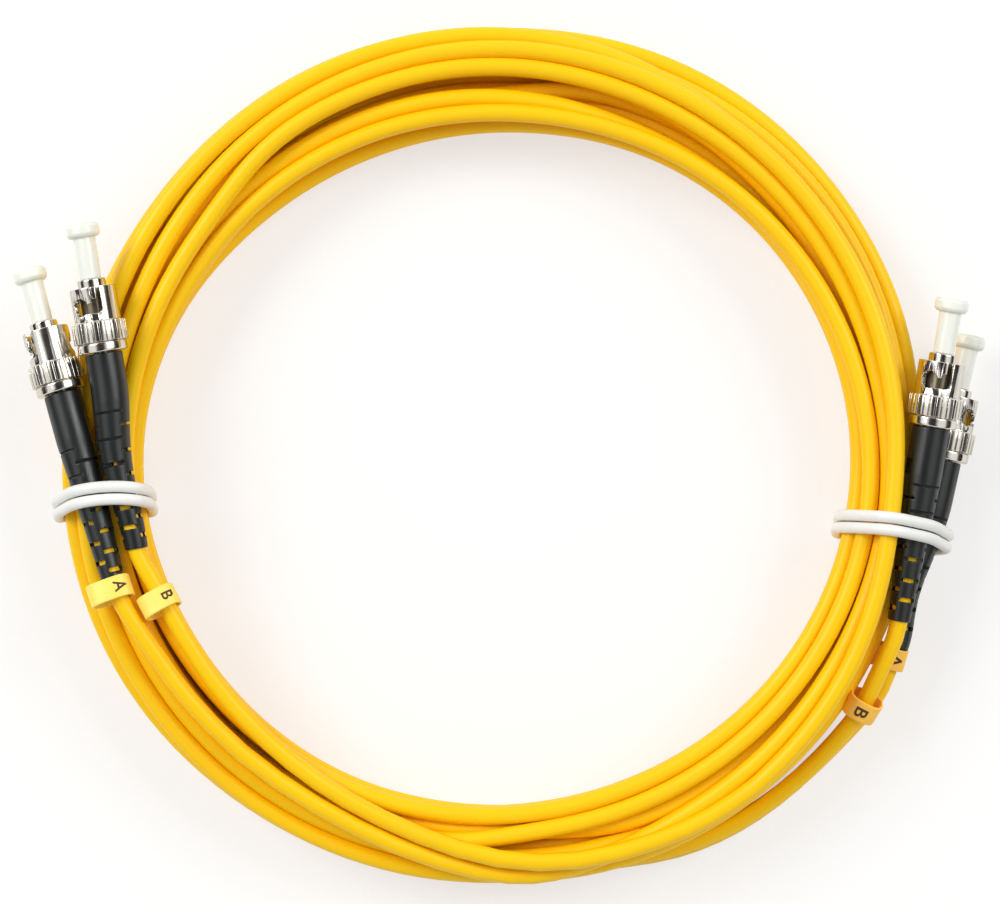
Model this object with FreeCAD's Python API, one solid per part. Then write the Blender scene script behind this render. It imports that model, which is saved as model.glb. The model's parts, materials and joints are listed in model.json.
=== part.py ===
import FreeCAD, Part
import math
import os

# Duplex fibre patch cord, wound into a flat coil that lies on a table and tied at two places.
# Each end of the two cables has a bayonet connector with a push-on dust cap: ends A and B at the
# left of the coil and ends A and B at its right. Millimetres, +Z up, the table is Z = 0.

V = FreeCAD.Vector
UP = V(0, 0, 1)

# Coil of turns: a round ring with an oval eye off its centre, higher at the near side than the far
cable_d = 3.0
bend_share = 0.45
coil_radius = 72.0
coil_center = V(-1.55, 0.3, 0)
band_left = 12.8
band_right = 10.4
band_near = 11.9
band_far = 19.1
pile_middle = 15.6
pile_bank = 2.0
shoulder_share = 0.7
shoulder_steps = 3

# Bayonet coupling nut
rear_ring_d = 8.2
rear_ring_length = 1.6
rear_ring_chamfer = 0.4
knurl_d = 9.0
knurl_length = 3.5
knurl_depth = 0.3
knurl_ridges = 28
nut_barrel_d = 7.7
nut_barrel_length = 5.7
nut_bore_d = 6.5
nut_web = 1.0
bayonet_slots = 2
slot_width = 1.7
slot_depth = 4.4
slot_entry_angle = 11.0
slot_turn = 45.0
detent_d = 2.9
detent_rise = 0.4

# Connector body: front barrel, flange for the spring, and the stem that the cable is crimped on
barrel_d = 4.7
barrel_reach = 1.4
flange_d = 6.0
flange_thickness = 0.6
stem_length = 6.0
key_width = 1.0
key_length = 1.8
key_height = 0.55

# Pieces inside the nut
washer_d = 6.1
washer_thickness = 0.3
spring_length = 3.8
spring_wire = 0.5
spring_turns = 2.5
spring_corners = 14

# Ferrule and its dust cap
ferrule_d = 2.5
ferrule_reach = 6.0
ferrule_seat = 4.2
ferrule_chamfer = 0.4
cap_tube_d = 3.4
cap_tube_length = 6.7
cap_head_d = 5.6
cap_head_length = 2.5
cap_edge = 0.5

# Crimp sleeve and slotted strain-relief boot
crimp_d = 4.4
crimp_length = 7.6
boot_d = 5.8
boot_tip_d = 3.8
boot_length = 32.8
boot_plain_length = 8.0
boot_slot_stations = 11
boot_first_slot = 10.2
boot_tip_ring = 2.3
boot_slot_front = 0.35
boot_slot_rear = 0.75
boot_slot_half_angle = 55.0
boot_pocket_behind = 6.9
boot_pocket_length = 2.5
boot_pocket_width = 2.4
boot_pocket_depth = 0.4

# Marker ring that is threaded on each cable
marker_width = 7.0
marker_height = 4.9
marker_length = 3.6
marker_wall = 0.45
marker_corner = 1.4

# Coated wire ties, each wound twice
tie_wire_d = 1.9
tie_left_angle = 186.3
tie_right_angle = 349.0
tie_sides = 8
tie_corner = 0.3
tie_gap = 0.4
tie_bend = 35.0

# Clearances
fit_gap = 0.05
cable_gap = 0.1
running_gap = 0.15
seat_gap = 0.2
pair_gap = 0.3
cut_margin = 1.0

# How the pairs lie: B rests on the coil, A hangs beside it at a lean below the level
left_b_inset = 7.95
left_b_along = 16.5
left_marker_along = -26.0
left_lean = 18.0
left_azimuth_a = 105.8
left_azimuth_b = 99.5
right_b_offset = 1.4
right_b_along = 4.3
right_lean = 63.0
right_azimuth_a = 77.6
right_azimuth_b = 80.9
right_tip_drop_b = 1.7
right_tip_rise_a = 0.5

# Lengths along a connector, measured forwards from the rear end of its nut
nut_length = rear_ring_length + knurl_length + nut_barrel_length
washer_front = nut_web + fit_gap + washer_thickness
flange_rear = washer_front + spring_length + 2 * fit_gap
flange_front = flange_rear + flange_thickness
barrel_front = nut_length + barrel_reach
ferrule_tip = barrel_front + ferrule_reach
cap_rear = barrel_front + fit_gap
cable_front = -(stem_length + seat_gap)
boot_front = -running_gap
boot_rear = boot_front - boot_length
crimp_rear = boot_front - crimp_length
stem_d = cable_d

# Coil values that the connectors and ties lean on
shoulder_round = shoulder_share * band_right
coil_left = coil_center.x - coil_radius
coil_right = coil_center.x + coil_radius
eye_half_x = coil_radius - (band_left + band_right) / 2
eye_half_y = coil_radius - (band_near + band_far) / 2
eye_center = coil_center + V((band_left - band_right) / 2, (band_near - band_far) / 2, 0)
tie_notch = tie_wire_d + 2 * fit_gap + seat_gap
pair_spacing = (knurl_d + nut_barrel_d) / 2 + pair_gap
pair_stagger = rear_ring_length + knurl_length + pair_gap


def turned(profile):
    """Solid of revolution about Z from (radius, z) corners."""
    points = [V(radius, 0, z) for radius, z in profile]
    return Part.Face(Part.makePolygon(points + points[:1])).revolve(V(), UP, 360)


def rod(diameter, low, high):
    return Part.makeCylinder(diameter / 2, high - low, V(0, 0, low))


def centred_box(size_x, size_y, size_z, center):
    return Part.makeBox(size_x, size_y, size_z, center - V(size_x, size_y, size_z) / 2)


def dust_cap():
    head_rear = cap_rear + cap_tube_length
    head_front = head_rear + cap_head_length
    bore = ferrule_d / 2 + fit_gap
    bore_end = ferrule_tip + seat_gap
    tube, head = cap_tube_d / 2, cap_head_d / 2
    return turned([
        (bore, cap_rear), (tube, cap_rear), (tube, head_rear), (head, head_rear),
        (head, head_front - cap_edge), (head - cap_edge, head_front),
        (0, head_front), (0, bore_end), (bore, bore_end),
    ])


def ferrule():
    radius = ferrule_d / 2
    rear = barrel_front - ferrule_seat
    return turned([
        (0, rear), (radius, rear), (radius, ferrule_tip - ferrule_chamfer),
        (radius - ferrule_chamfer, ferrule_tip), (0, ferrule_tip),
    ])


def connector_body():
    """Turned backbone: stem, spring flange, bored barrel, and an alignment key on top."""
    barrel, flange, stem = barrel_d / 2, flange_d / 2, stem_d / 2
    bore = ferrule_d / 2 + fit_gap
    bore_rear = barrel_front - ferrule_seat - fit_gap
    backbone = turned([
        (0, -stem_length), (stem, -stem_length), (stem, flange_rear), (flange, flange_rear),
        (flange, flange_front), (barrel, flange_front), (barrel, barrel_front),
        (bore, barrel_front), (bore, bore_rear), (0, bore_rear),
    ])
    key = centred_box(2 * key_height, key_width, key_length, V(barrel, 0, nut_length - key_length / 2))
    hollow = rod(2 * bore, bore_rear, barrel_front)
    return backbone.fuse(key.cut(hollow)).removeSplitter()


def thrust_washer():
    low = nut_web + fit_gap
    inside, outside = stem_d / 2 + running_gap, washer_d / 2
    return turned([(inside, low), (outside, low), (outside, washer_front), (inside, washer_front)])


def spring():
    """Square-wire helix between the washer and the body's flange, bent in short straight runs."""
    radius = (stem_d + nut_bore_d) / 4
    half = spring_wire / 2
    low = washer_front + fit_gap + half
    steps = round(spring_turns * spring_corners)
    rise = (spring_length - spring_wire - fit_gap) / steps
    points = []
    for step in range(steps + 1):
        angle = 2 * math.pi * step / spring_corners
        points.append(V(radius * math.cos(angle), radius * math.sin(angle), low + rise * step))
    corners = [
        V(radius + side * half, 0, low + level * half)
        for side, level in ((-1, -1), (1, -1), (1, 1), (-1, 1))
    ]
    section = Part.makePolygon(corners + corners[:1])
    return Part.makePolygon(points).makePipeShell([section], True, False, 1)


def knurl_band():
    """Straight coarse knurl: sharp ridges with a V between each two."""
    tip, root = knurl_d / 2, knurl_d / 2 - knurl_depth
    step = 2 * math.pi / knurl_ridges
    corners = []
    for ridge in range(knurl_ridges):
        for share, radius in ((0.0, tip), (0.5, root)):
            angle = step * (ridge + share)
            corners.append(V(radius * math.cos(angle), radius * math.sin(angle), rear_ring_length))
    return Part.Face(Part.makePolygon(corners + corners[:1])).extrude(V(0, 0, knurl_length))


def bayonet_slot():
    """J-slot: an entry from the mouth, a turn round the barrel, and a round detent at its end."""
    inside, outside = barrel_d / 2, knurl_d / 2 + cut_margin
    floor = nut_length - slot_depth
    entry = Part.makeBox(
        outside - inside, slot_width, slot_depth + cut_margin, V(inside, -slot_width / 2, floor)
    )
    gate = [V(inside, 0, floor), V(outside, 0, floor)]
    gate += [point + V(0, 0, slot_width) for point in reversed(gate)]
    channel = Part.Face(Part.makePolygon(gate + gate[:1])).revolve(V(), -UP, slot_turn)
    seat = floor + slot_width / 2 + detent_rise
    detent = Part.makeCylinder(detent_d / 2, outside - inside, V(inside, 0, seat), V(1, 0, 0))
    detent.rotate(V(), -UP, slot_turn)
    slot = entry.fuse([channel, detent])
    slot.rotate(V(), UP, slot_entry_angle)
    return slot


def coupling_nut():
    ring, barrel = rear_ring_d / 2, nut_barrel_d / 2
    rear = turned([
        (0, 0), (ring - rear_ring_chamfer, 0), (ring, rear_ring_chamfer),
        (ring, rear_ring_length), (0, rear_ring_length),
    ])
    knurl_front = rear_ring_length + knurl_length
    front = turned([
        (0, knurl_front), (barrel, knurl_front), (barrel, nut_length), (0, nut_length),
    ])
    cores = [
        rod(stem_d + 2 * running_gap, -nut_web, nut_length),
        rod(nut_bore_d, nut_web, nut_length + nut_web),
    ]
    slots = []
    for index in range(bayonet_slots):
        slot = bayonet_slot()
        slot.rotate(V(), UP, 360 / bayonet_slots * index)
        slots.append(slot)
    return rear.fuse([knurl_band(), front]).cut(cores + slots).removeSplitter()


def crimp_sleeve():
    """Tube squeezed over the stem and the cable's jacket; its front end stops the nut from behind."""
    inside, outside = cable_d / 2 + fit_gap, crimp_d / 2
    return turned([
        (inside, crimp_rear), (outside, crimp_rear), (outside, boot_front), (inside, boot_front),
    ])


def boot_radius(behind):
    """Outer radius of the boot at a distance behind its front end."""
    taper = (boot_d - boot_tip_d) / 2 / (boot_length - boot_plain_length)
    return boot_d / 2 - taper * max(behind - boot_plain_length, 0)


def boot():
    """Tapered moulded sleeve; pairs of slots, turned by a quarter at each station, let it flex.

    The slots widen towards the tip, where they go through to the cable. A shallow pocket at one side
    of the plain front marks where the sleeve is crimped.
    """
    front, tip = boot_d / 2, boot_tip_d / 2
    seat, bore = crimp_d / 2 + fit_gap, cable_d / 2 + cable_gap
    sleeve = turned([
        (bore, boot_rear), (tip, boot_rear), (front, boot_front - boot_plain_length),
        (front, boot_front), (seat, boot_front), (seat, crimp_rear - fit_gap), (bore, crimp_rear - fit_gap),
    ])
    pocket = centred_box(
        boot_pocket_width, boot_d, boot_pocket_length,
        V(0, boot_pocket_depth - front - boot_d / 2, boot_front - boot_pocket_behind),
    )
    pitch = (boot_length - boot_tip_ring - boot_first_slot) / (boot_slot_stations - 1)
    blades = []
    for station in range(boot_slot_stations):
        behind = boot_first_slot + station * pitch
        floor = boot_radius(behind) * math.cos(math.radians(boot_slot_half_angle))
        share = station / (boot_slot_stations - 1)
        width = boot_slot_front + (boot_slot_rear - boot_slot_front) * share
        for side in (0, 180):
            blade = centred_box(boot_d, 2 * boot_d, width, V(floor + boot_d / 2, 0, boot_front - behind))
            blade.rotate(V(), UP, side + 90 * (station % 2))
            blades.append(blade)
    return sleeve.cut(blades + [pocket])


def clipped_prism(width, height, corner, length):
    """Prism on a rectangle with clipped corners, wide along Y."""
    x, y = height / 2, width / 2
    outline = [
        V(x, y - corner, 0), V(x - corner, y, 0), V(corner - x, y, 0), V(-x, y - corner, 0),
        V(-x, corner - y, 0), V(corner - x, -y, 0), V(x - corner, -y, 0), V(x, corner - y, 0),
    ]
    return Part.Face(Part.makePolygon(outline + outline[:1])).extrude(V(0, 0, length))


def marker_ring(sideways):
    inner_corner = marker_corner - marker_wall * (2 - math.sqrt(2))
    outer = clipped_prism(marker_width, marker_height, marker_corner, marker_length)
    inner = clipped_prism(
        marker_width - 2 * marker_wall, marker_height - 2 * marker_wall, inner_corner, marker_length
    )
    return outer.cut(inner).translated(V(0, sideways, -marker_length / 2))


def frame_along(origin, direction):
    """Placement whose Z runs along a direction and whose X points as far up as it can."""
    forward = V(direction).normalize()
    upward = (UP - forward * UP.dot(forward)).normalize()
    return FreeCAD.Placement(origin, FreeCAD.Rotation(upward, forward.cross(upward), forward, "ZXY"))


def heading(azimuth):
    return V(math.cos(math.radians(azimuth)), math.sin(math.radians(azimuth)), 0)


def connector_frame(rear, azimuth, tip_height):
    """Frame at the rear end of a nut, with the boot's tip at a given height."""
    rise = (rear.z - tip_height) / (boot_length + running_gap)
    direction = heading(azimuth) * math.sqrt(1 - rise * rise) + UP * rise
    return frame_along(rear, direction)


def pile_height(y):
    """Height of the coil's banked top."""
    return pile_middle - math.tan(math.radians(pile_bank)) * (y - coil_center.y)


def shoulder_rest(x, y, radius):
    """Height at which a round thing of this radius rests on the coil's rounded outer shoulder."""
    across = math.hypot(x - coil_center.x, y - coil_center.y) - (coil_radius - shoulder_round)
    touch = shoulder_round + radius + seat_gap
    return pile_height(y) - shoulder_round + math.sqrt(touch * touch - across * across)


def eye_reach(angle):
    """Distance from the coil's centre to the edge of its eye."""
    ray, start = heading(angle), coil_center - eye_center
    a = (ray.x / eye_half_x) ** 2 + (ray.y / eye_half_y) ** 2
    b = 2 * (start.x * ray.x / eye_half_x ** 2 + start.y * ray.y / eye_half_y ** 2)
    c = (start.x / eye_half_x) ** 2 + (start.y / eye_half_y) ** 2 - 1
    return (math.sqrt(b * b - 4 * a * c) - b) / (2 * a)


def coil():
    """Closed solid of the coil's outer shape: a banked drum with a round shoulder, eye and notches."""
    profile = [(0, -2 * pile_middle), (coil_radius, -2 * pile_middle)]
    for step in range(shoulder_steps + 1):
        angle = math.pi / 2 * step / shoulder_steps
        profile.append((
            coil_radius - shoulder_round * (1 - math.cos(angle)), shoulder_round * (math.sin(angle) - 1)
        ))
    drum = turned(profile + [(0, 0)])
    drum.rotate(V(), V(-1, 0, 0), pile_bank)
    drum.translate(coil_center + UP * pile_middle)
    side = 4 * coil_radius
    table = centred_box(side, side, side, UP * (-side / 2))
    curve = Part.Ellipse(eye_center + V(eye_half_x, 0, 0), eye_center + V(0, eye_half_y, 0), eye_center)
    eye = Part.Face(Part.Wire(curve.toShape())).extrude(V(0, 0, 2 * pile_middle))
    notches = []
    for angle in (tie_left_angle, tie_right_angle):
        notch = centred_box(
            2 * coil_radius, 2 * tie_wire_d + 4 * seat_gap, 2 * tie_notch, V(coil_radius, 0, 0)
        )
        notch.rotate(V(), UP, angle)
        notches.append(notch.translated(coil_center))
    return drum.cut([table, eye] + notches)


def rounded_route(points):
    """Wire of straight runs joined by tangent arcs, each as large as its two runs allow."""
    edges, start, radii = [], points[0], []
    for before, corner, after in zip(points, points[1:], points[2:]):
        back, ahead = (before - corner), (after - corner)
        tangent = bend_share * min(back.Length, ahead.Length)
        half_turn = (math.pi - back.getAngle(ahead)) / 2
        radius = tangent / math.tan(half_turn)
        back.normalize()
        ahead.normalize()
        toward = (back + ahead).normalize()
        middle = corner + toward * (radius / math.cos(half_turn) - radius)
        enter, leave = corner + back * tangent, corner + ahead * tangent
        edges.append(Part.LineSegment(start, enter).toShape())
        edges.append(Part.Arc(enter, middle, leave).toShape())
        start = leave
        radii.append(radius)
    edges.append(Part.LineSegment(start, points[-1]).toShape())
    return Part.Wire(edges), radii


def cable_end(name, wire, radii):
    """Cable from the crimp to where it joins the coil."""
    start = wire.Edges[0].firstVertex().Point
    section = Part.Wire(Part.makeCircle(cable_d / 2, start, wire.Edges[0].tangentAt(0)))
    tube = wire.makePipeShell([section], True, True)
    expected = math.pi * cable_d ** 2 / 4 * wire.Length
    print(name, "length", round(wire.Length, 1), "volume ratio", round(tube.Volume / expected, 4),
          "radii", [round(radius) for radius in radii])
    return tube


def along_route(wire, distance):
    """Point at a distance along a wire, and one a little further on."""
    return wire.discretize(Distance=distance)[1], wire.discretize(Distance=distance + fit_gap)[1]


def belt(circles):
    """Corners of a wire pulled tight round circles (center, radius), given anticlockwise."""
    normals = []
    for (center, radius), (next_center, next_radius) in zip(circles, circles[1:] + circles[:1]):
        step = next_center - center
        lean = math.asin((radius - next_radius) / step.Length)
        normals.append(math.atan2(step.y, step.x) - math.pi / 2 + lean)
    corners = []
    for index, (center, radius) in enumerate(circles):
        turn = (normals[index] - normals[index - 1]) % (2 * math.pi)
        bends = math.ceil(math.degrees(turn) / tie_bend)
        for bend in range(bends):
            angle = normals[index - 1] + turn * (bend + 0.5) / bends
            reach = radius / math.cos(turn / bends / 2)
            corners.append(center + V(math.cos(angle), math.sin(angle), 0) * reach)
    return corners


def wire_tie(angle, circles):
    """One coated wire bent twice round the coil and two boots; both ends stop under the coil."""
    grow = tie_wire_d / 2 + tie_gap
    corners = belt([(center, radius + grow) for center, radius in circles])
    outward, along = heading(angle), heading(angle + 90)
    half_pitch = tie_wire_d / 2 + fit_gap
    path = [
        coil_center + outward * corner.x + along * offset + UP * corner.y
        for offset in (-half_pitch, half_pitch) for corner in corners
    ]
    turn = 2 * math.pi / tie_sides
    rim = tie_wire_d / 2 / math.cos(turn / 2)
    flats = [
        V(rim * math.cos(turn * (side + 0.5)), rim * math.sin(turn * (side + 0.5)), 0)
        for side in range(tie_sides)
    ]
    section = Part.makePolygon(flats + flats[:1])
    section = section.transformed(frame_along(path[0], path[1] - path[0]).toMatrix())
    return Part.makePolygon(path).makePipeShell([section], True, False, 1)


def boot_circle(frame, angle):
    """Where a boot crosses a tie's plane: (distance from the coil's centre, height) and radius."""
    along = heading(angle + 90)
    axis = frame.Rotation.multVec(UP)
    distance = (coil_center - frame.Base).dot(along) / axis.dot(along)
    point = frame.Base + axis * distance
    outward = (point - coil_center).dot(heading(angle))
    return V(outward, point.z, 0), boot_radius(boot_front - distance)


def base_circles(angle):
    """Where a tie bends round the two lower edges of the coil: outer edge first."""
    low = tie_notch + tie_corner
    inner, outer = eye_reach(angle) + tie_corner, coil_radius - tie_corner
    return [(V(outer, low, 0), tie_corner)], [(V(inner, low, 0), tie_corner)]


def roof_level(angle):
    return pile_height((coil_center + heading(angle) * coil_radius).y)


def left_tie():
    angle = tie_left_angle
    outer, inner = base_circles(angle)
    shoulder = V(coil_radius - shoulder_round, roof_level(angle) - shoulder_round, 0)
    boots = [boot_circle(left_a_frame, angle), boot_circle(left_b_frame, angle)]
    return wire_tie(angle, outer + [(shoulder, shoulder_round)] + boots + inner)


def right_tie():
    angle = tie_right_angle
    outer, inner = base_circles(angle)
    rim = V(eye_reach(angle) + tie_corner, roof_level(angle) - tie_corner, 0)
    boots = [boot_circle(right_a_frame, angle), boot_circle(right_b_frame, angle)]
    return wire_tie(angle, outer + boots + [(rim, tie_corner)] + inner)


left_b_rear = V(coil_left + left_b_inset, left_b_along, pile_height(left_b_along) + knurl_d / 2 + seat_gap)
right_b_rear = V(coil_right + right_b_offset, right_b_along, 0)
right_b_rear.z = shoulder_rest(right_b_rear.x, right_b_rear.y, knurl_d / 2)
left_tip = pile_height(left_marker_along) + marker_height / 2 + seat_gap

left_b_frame = connector_frame(left_b_rear, left_azimuth_b, left_tip)
right_b_frame = connector_frame(right_b_rear, right_azimuth_b, right_b_rear.z - right_tip_drop_b)


def beside(frame, lean, outward):
    """Rear end of connector A: one spacing away from B's axis and one stagger behind B."""
    lean = math.radians(lean)
    shift = V(-math.sin(lean), outward * math.cos(lean), 0) * pair_spacing - UP * pair_stagger
    return frame.multVec(shift)


left_a_rear = beside(left_b_frame, left_lean, -1)
right_a_rear = beside(right_b_frame, right_lean, 1)
left_a_frame = connector_frame(left_a_rear, left_azimuth_a, left_tip)
right_a_frame = connector_frame(right_a_rear, right_azimuth_a, right_a_rear.z + right_tip_rise_a)

# Each end: its frame, the rolls of its nut and its boot, how far behind the boot its marker sits and how
# far that hangs to one side, how far the cable runs straight out of the boot, and then the cable's route.
ends = {
    "left_a": (left_a_frame, -53.0, -48.0, 0.5, -1.2, 3.0, [
        V(-59.9, -30.2, 18.9), V(-52.4, -40.4, 18.2), V(-44.0, -48.6, 14.6),
    ]),
    "left_b": (left_b_frame, 0.0, -8.0, 8.0, -0.6, 3.0, [
        V(-56.2, -24.2, 19.3), V(-49.9, -35.0, 18.7), V(-42.0, -44.2, 14.8),
    ]),
    "right_a": (right_a_frame, 70.0, 30.0, 0.5, 0.0, 4.0, [
        V(62.6, -45.0, 5.9), V(50.0, -57.2, 1.7), V(33.0, -67.2, 1.7), V(15.0, -71.0, 2.0),
    ]),
    "right_b": (right_b_frame, 0.0, 15.0, 14.2, 0.0, 6.0, [
        V(60.3, -44.6, 10.2), V(48.8, -56.4, 5.0), V(32.0, -66.1, 5.0), V(15.0, -69.6, 5.4),
    ]),
}

pieces = {"coil": coil(), "left_tie": left_tie(), "right_tie": right_tie()}
cables = {"cable_a": [], "cable_b": []}
for name, (frame, nut_roll, boot_roll, marker_behind, marker_sideways, straight, route) in ends.items():
    rolls = {connector_body: nut_roll, coupling_nut: nut_roll, boot: boot_roll}
    for piece in (dust_cap, ferrule, connector_body, spring, thrust_washer, coupling_nut, crimp_sleeve, boot):
        rolled = FreeCAD.Placement(V(), FreeCAD.Rotation(UP, rolls.get(piece, 0.0)))
        pieces[name + "_" + piece.__name__] = piece().transformed(frame.multiply(rolled).toMatrix())
    points = [frame.multVec(V(0, 0, cable_front)), frame.multVec(V(0, 0, boot_rear - straight))] + route
    wire, radii = rounded_route(points)
    cables["cable" + name[-2:]].append(cable_end(name, wire, radii))
    spot, ahead = along_route(wire, cable_front - boot_rear + marker_behind + marker_length / 2)
    marker_frame = frame_along(spot, spot - ahead)
    pieces[name + "_marker_ring"] = marker_ring(marker_sideways).transformed(marker_frame.toMatrix())
for name, tubes in cables.items():
    pieces[name] = Part.makeCompound(tubes)

os.makedirs("parts", exist_ok=True)
for name, shape in pieces.items():
    shape.exportStep("parts/" + name + ".step")
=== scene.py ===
import json
import math

import bmesh
import bpy
import numpy as np
from mathutils import Matrix, Vector


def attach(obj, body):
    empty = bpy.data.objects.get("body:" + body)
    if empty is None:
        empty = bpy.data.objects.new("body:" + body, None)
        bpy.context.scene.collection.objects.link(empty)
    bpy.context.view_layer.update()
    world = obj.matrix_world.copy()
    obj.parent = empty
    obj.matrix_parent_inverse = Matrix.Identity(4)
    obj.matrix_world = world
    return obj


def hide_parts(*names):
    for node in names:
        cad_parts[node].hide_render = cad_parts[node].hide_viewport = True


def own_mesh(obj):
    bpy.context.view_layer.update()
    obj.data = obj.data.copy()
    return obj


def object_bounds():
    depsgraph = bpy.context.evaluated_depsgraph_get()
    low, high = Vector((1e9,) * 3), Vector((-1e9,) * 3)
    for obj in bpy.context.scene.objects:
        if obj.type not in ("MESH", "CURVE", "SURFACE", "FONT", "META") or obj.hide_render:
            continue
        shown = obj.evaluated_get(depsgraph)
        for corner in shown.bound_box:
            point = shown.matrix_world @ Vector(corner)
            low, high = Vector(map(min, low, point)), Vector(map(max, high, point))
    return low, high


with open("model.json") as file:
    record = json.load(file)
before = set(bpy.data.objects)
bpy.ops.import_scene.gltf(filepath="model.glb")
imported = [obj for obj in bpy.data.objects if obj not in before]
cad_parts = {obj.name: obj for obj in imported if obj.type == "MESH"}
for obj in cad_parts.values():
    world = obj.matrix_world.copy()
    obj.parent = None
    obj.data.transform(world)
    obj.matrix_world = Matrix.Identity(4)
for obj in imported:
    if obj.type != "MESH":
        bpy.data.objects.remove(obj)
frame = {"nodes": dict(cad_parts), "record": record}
cad_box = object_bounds()
nodes = frame["nodes"]
ends = ("left_a", "left_b", "right_a", "right_b")

# Table and studio: a white table top that the coiled cord lies on, seen from straight above by a long
# lens. A large softbox stands on either side of the table, and the white room fills in the rest.
scene = bpy.context.scene
scene.view_settings.view_transform = "Standard"
scene.cycles.max_bounces = 16
scene.cycles.diffuse_bounces = 7

camera_height = 0.52
camera_data = bpy.data.cameras.new("Camera")
camera_data.sensor_width = 36.0
camera_data.lens = 108.9
camera_data.clip_start = 0.01
camera = bpy.data.objects.new("Camera", camera_data)
camera.location = (0.0, 0.0, camera_height)
scene.collection.objects.link(camera)
scene.camera = camera


def srgb(red, green, blue):
    """A colour as a picture shows it, 0 to 255, as the linear colour that a shader takes."""
    linear = [v / 12.92 if v <= 0.04045 else ((v + 0.055) / 1.055) ** 2.4
              for v in (red / 255, green / 255, blue / 255)]
    return (*linear, 1.0)


def set_inputs(node, values):
    """Give values to a node's inputs, by name or number."""
    for socket, value in values.items():
        node.inputs[socket].default_value = value


def added(tree, kind, values={}, **settings):
    """A new node in a tree, with settings of its own and values for its inputs."""
    node = tree.nodes.new(kind)
    for setting, value in settings.items():
        setattr(node, setting, value)
    set_inputs(node, values)
    return node


def linked(tree, *links):
    """Link nodes in a tree: each link is a node and its output, then a node and its input."""
    for source, output, target, socket in links:
        tree.links.new(source.outputs[output], target.inputs[socket])


def new_material(name, values):
    """A material, its node tree and its principled shader, which takes the values."""
    material = bpy.data.materials.new(name)
    material.use_nodes = True
    shader = material.node_tree.nodes["Principled BSDF"]
    set_inputs(shader, values)
    return material, material.node_tree, shader


table_material, tree, shader = new_material("white_table_top", {
    "Base Color": srgb(249, 248, 246), "Roughness": 0.7, "Specular IOR Level": 0.1})
table_bleach = 0.6
white = added(tree, "ShaderNodeEmission")
rays = added(tree, "ShaderNodeLightPath")
bleached = added(tree, "ShaderNodeMath", {1: table_bleach}, operation="MULTIPLY")
mixed = added(tree, "ShaderNodeMixShader")
linked(
    tree, (rays, "Is Camera Ray", bleached, 0), (bleached, 0, mixed, "Fac"), (shader, "BSDF", mixed, 1),
    (white, "Emission", mixed, 2), (mixed, "Shader", tree.nodes["Material Output"], "Surface"))
table_mesh = bpy.data.meshes.new("table_top")
table_half = 2.0
table_drop = -0.0002
table_mesh.from_pydata(
    [(x * table_half, y * table_half, table_drop) for x, y in ((-1, -1), (1, -1), (1, 1), (-1, 1))],
    [], [(0, 1, 2, 3)],
)
table_mesh.materials.append(table_material)
table = bpy.data.objects.new("table_top", table_mesh)
scene.collection.objects.link(table)

world = bpy.data.worlds.new("white_room")
world.use_nodes = True
scene.world = world
tree = world.node_tree
background = tree.nodes["Background"]
background.inputs["Color"].default_value = (1.0, 1.0, 1.0, 1.0)
rays = added(tree, "ShaderNodeLightPath")
seen = added(tree, "ShaderNodeMath", operation="MAXIMUM")
seen_or_mirrored = added(tree, "ShaderNodeMath", operation="MAXIMUM")
level = added(tree, "ShaderNodeMapRange", {"To Min": 0.48, "To Max": 1.0})
linked(
    tree, (rays, "Is Camera Ray", seen, 0), (rays, "Is Transmission Ray", seen, 1),
    (seen, 0, seen_or_mirrored, 0), (rays, "Is Glossy Ray", seen_or_mirrored, 1),
    (seen_or_mirrored, 0, level, "Value"), (level, "Result", background, "Strength"))


def softbox(name, place, size, power):
    """A square soft light at a place, aimed at the middle of the coil."""
    data = bpy.data.lights.new(name, "AREA")
    data.shape = "SQUARE"
    data.size = size
    data.energy = power
    lamp = bpy.data.objects.new(name, data)
    lamp.location = place
    lamp.rotation_euler = (-Vector(place)).to_track_quat("-Z", "Y").to_euler()
    scene.collection.objects.link(lamp)


softbox("left_softbox", place=(-1.4, 0.85, 1.6), size=1.1, power=30.0)
softbox("right_softbox", place=(1.4, 0.8, 1.6), size=1.1, power=21.0)


def dark_card(name, strips):
    """A black card with faded edges that only reflections see, for the dark bands along polished metal.

    Each strip is its two ends and how black the card is there.
    """
    material, tree, shader = new_material(name, {"Base Color": (0.02, 0.02, 0.02, 1.0), "Roughness": 0.9})
    blackness = added(tree, "ShaderNodeAttribute", attribute_name="blackness")
    clear = added(tree, "ShaderNodeBsdfTransparent")
    faded = added(tree, "ShaderNodeMixShader")
    linked(
        tree, (blackness, "Fac", faded, "Fac"), (clear, "BSDF", faded, 1), (shader, "BSDF", faded, 2),
        (faded, "Shader", tree.nodes["Material Output"], "Surface"))
    mesh = bpy.data.meshes.new(name)
    mesh.from_pydata([place for near, far, _ in strips for place in (near, far)], [],
                     [(2 * i, 2 * i + 1, 2 * i + 3, 2 * i + 2) for i in range(len(strips) - 1)])
    layer = mesh.attributes.new("blackness", "FLOAT", "POINT")
    layer.data.foreach_set("value", [black for _, _, black in strips for _ in range(2)])
    mesh.materials.append(material)
    card = bpy.data.objects.new(name, mesh)
    scene.collection.objects.link(card)
    card.visible_camera = False
    card.visible_diffuse = False
    card.visible_shadow = False
    card.visible_transmission = False


dark_card("overhead_card", [((x, -1.2, 1.1), (x, 1.2, 1.1), black) for x, black in (
    (-0.6, 0.0), (-0.35, 1.0), (0.2, 1.0), (0.5, 0.0))])
for name, x in (("left_card", -1.3), ("right_card", 1.3)):
    dark_card(name, [((x, -1.6, z), (x, 1.6, z), black) for z, black in (
        (-0.05, 0.8), (0.05, 1.0), (0.55, 1.0), (0.9, 0.0))])

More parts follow.
